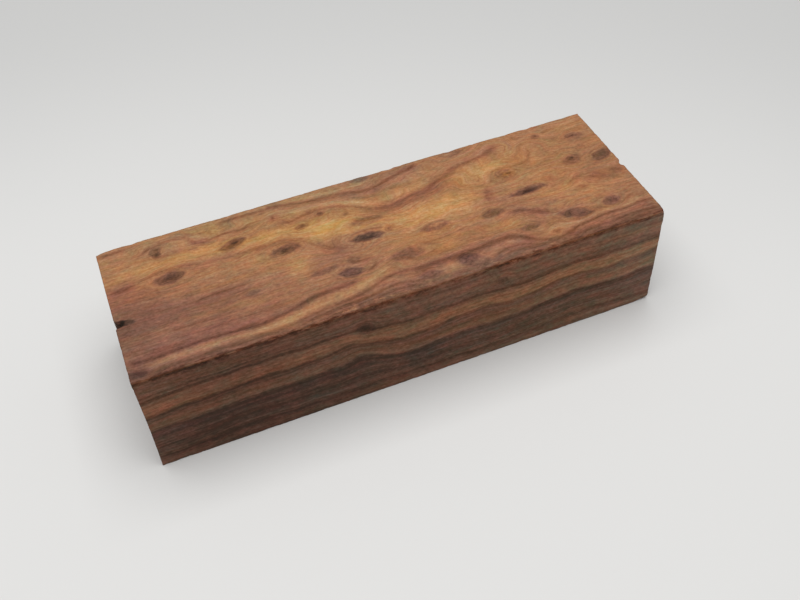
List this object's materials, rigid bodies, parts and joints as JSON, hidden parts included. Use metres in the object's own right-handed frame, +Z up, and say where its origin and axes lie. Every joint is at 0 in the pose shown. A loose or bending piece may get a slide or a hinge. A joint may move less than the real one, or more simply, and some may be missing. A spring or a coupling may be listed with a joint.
{
  "type": "ironwood block",
  "caption": "Sawn rectangular block of dense dark desert ironwood with knots, a bark pocket, a drying crack and chipped edges, a blank for turning, carving or knife handles.",
  "frame": {"origin": "middle of the bottom face, which the block rests on", "axes": "+X along the length (the grain), the end with the open bark pocket at -X; +Y across the width, the banded quarter-sawn side at -Y; +Z up, through the thickness, to the flat-sawn top face"},
  "size_m": [0.152, 0.0502, 0.036],
  "materials": {
    "ironwood": "sawn and lightly sanded, unfinished, faint satin sheen on the dense heartwood"
  },
  "bodies": {
    "root": {"ironwood_block": "ironwood"}
  },
  "joints": []
}
